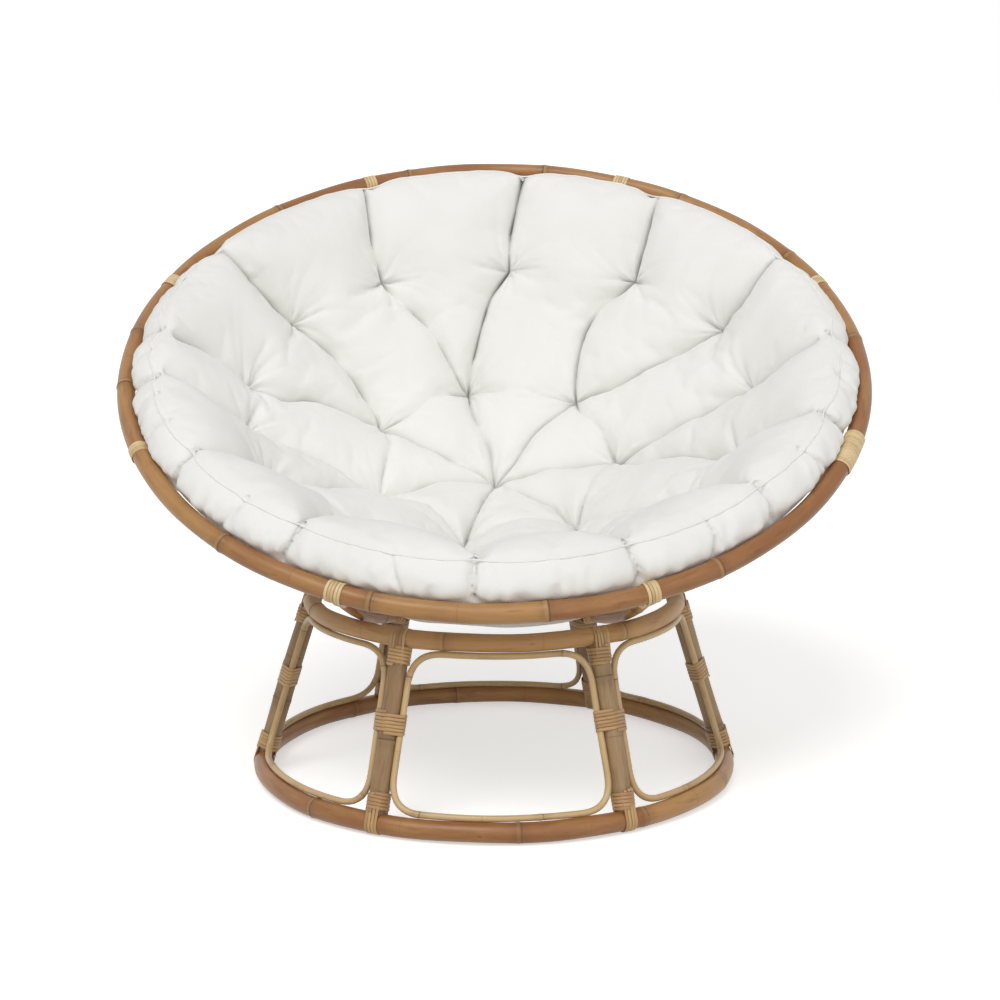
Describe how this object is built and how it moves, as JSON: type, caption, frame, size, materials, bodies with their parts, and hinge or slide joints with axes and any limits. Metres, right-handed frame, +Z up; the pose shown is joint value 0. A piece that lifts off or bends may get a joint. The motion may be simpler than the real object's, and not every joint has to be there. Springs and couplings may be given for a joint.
{
  "type": "papasan chair",
  "caption": "Round rattan bowl lounge chair with a tufted cushion, lying loose and tiltable on a round rattan base.",
  "frame": {"origin": "middle of the chair's footprint box, on the floor", "axes": "+X to the chair's left as it faces the viewer (the picture's right), the chair faces -Y, +Z up"},
  "size_m": [1.1, 0.986, 0.8354],
  "materials": {
    "rattan_pole": "varnished rattan pole with nodes, satin",
    "rattan_post": "rattan core pole, duller and greyer, satin",
    "peeled_loop": "thin pale rattan, satin",
    "binding_cane": "flat split cane, satin",
    "cushion_cloth": "plain woven off-white cotton, matt"
  },
  "bodies": {
    "base": {"base_bottom_ring": "rattan_pole", "base_top_ring": "rattan_pole", "base_post_1": "rattan_post", "base_loop_1": "peeled_loop", "top_lashing_1": "binding_cane", "middle_lashing_1": "binding_cane", "bottom_lashing_1": "binding_cane", "base_post_2": "rattan_post", "base_loop_2": "peeled_loop", "top_lashing_2": "binding_cane", "middle_lashing_2": "binding_cane", "bottom_lashing_2": "binding_cane", "base_post_3": "rattan_post", "base_loop_3": "peeled_loop", "top_lashing_3": "binding_cane", "middle_lashing_3": "binding_cane", "bottom_lashing_3": "binding_cane", "base_post_4": "rattan_post", "base_loop_4": "peeled_loop", "top_lashing_4": "binding_cane", "middle_lashing_4": "binding_cane", "bottom_lashing_4": "binding_cane", "base_post_5": "rattan_post", "base_loop_5": "peeled_loop", "top_lashing_5": "binding_cane", "middle_lashing_5": "binding_cane", "bottom_lashing_5": "binding_cane", "base_post_6": "rattan_post", "base_loop_6": "peeled_loop", "top_lashing_6": "binding_cane", "middle_lashing_6": "binding_cane", "bottom_lashing_6": "binding_cane"},
    "bowl": {"bowl_rim": "rattan_pole", "bowl_middle_ring": "rattan_pole", "bowl_bottom_ring": "rattan_pole", "bowl_rib_1": "rattan_pole", "rib_foot_lashing_1": "binding_cane", "bowl_rib_2": "rattan_pole", "rib_foot_lashing_2": "binding_cane", "bowl_rib_3": "rattan_pole", "rib_foot_lashing_3": "binding_cane", "bowl_rib_4": "rattan_pole", "rib_foot_lashing_4": "binding_cane", "bowl_rib_5": "rattan_pole", "rib_foot_lashing_5": "binding_cane", "bowl_rib_6": "rattan_pole", "rib_foot_lashing_6": "binding_cane", "bowl_rib_7": "rattan_pole", "rib_foot_lashing_7": "binding_cane", "bowl_rib_8": "rattan_pole", "rib_foot_lashing_8": "binding_cane", "rim_lashing_1": "binding_cane", "rim_lashing_2": "binding_cane", "rim_lashing_3": "binding_cane", "rim_lashing_4": "binding_cane", "rim_lashing_5": "binding_cane", "rim_lashing_6": "binding_cane", "rim_lashing_7": "binding_cane", "rim_splice_wrap": "binding_cane"},
    "cushion": {"cushion": "cushion_cloth"}
  },
  "joints": [
    {"name": "bowl_tilt", "type": "hinge", "parent": "base", "child": "bowl", "pos_m": [0, -0.14694, 0.84848], "axis": [1, 0, 0], "range_deg": [-62, 4.5]},
    {"name": "cushion_lift", "type": "slide", "parent": "bowl", "child": "cushion", "axis": [0, -0.4818, 0.8763], "range_m": [0, 0.5]}
  ]
}
